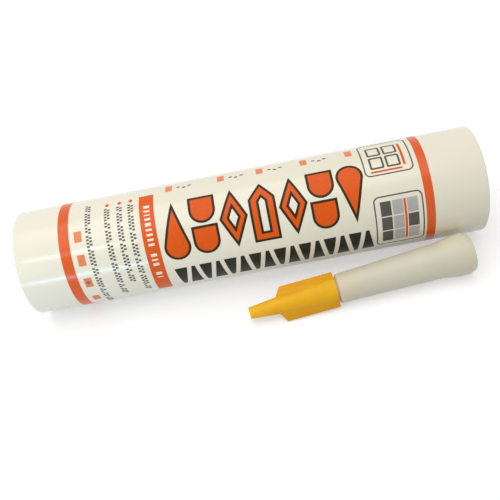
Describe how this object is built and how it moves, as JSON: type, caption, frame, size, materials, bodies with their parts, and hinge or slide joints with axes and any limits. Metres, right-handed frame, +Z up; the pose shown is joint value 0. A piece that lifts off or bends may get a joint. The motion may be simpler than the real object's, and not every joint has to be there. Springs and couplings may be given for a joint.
{
  "type": "sealant cartridge",
  "caption": "Sealant cartridge with piston, threaded spout, separate tapered nozzle and winged nozzle cap.",
  "frame": {"origin": "on the surface the cartridge lies on, under the middle of the whole object's box", "axes": "+X along the barrel from its open rear rim to the threaded spout, +Z up"},
  "size_m": [0.2218, 0.071, 0.05],
  "materials": {
    "barrel_plastic": "satin, printed",
    "piston_plastic": "matte",
    "sealant_paste": "smooth paste",
    "nozzle_plastic": "frosted, slightly see-through",
    "cap_plastic": "satin"
  },
  "bodies": {
    "cartridge": {"cartridge_body": "barrel_plastic", "sealant": "sealant_paste", "nozzle": "nozzle_plastic"},
    "piston_body": {"piston": "piston_plastic"},
    "cap": {"nozzle_cap": "cap_plastic"}
  },
  "joints": [
    {"name": "piston_slide", "type": "slide", "parent": "cartridge", "child": "piston_body", "axis": [1, 0, 0], "range_m": [0, 0.1757], "deforming": ["sealant"]},
    {"name": "cap_slide", "type": "slide", "parent": "cartridge", "child": "cap", "axis": [-0.9958, -0.0819, -0.0413], "range_m": [0, 0.036]}
  ]
}
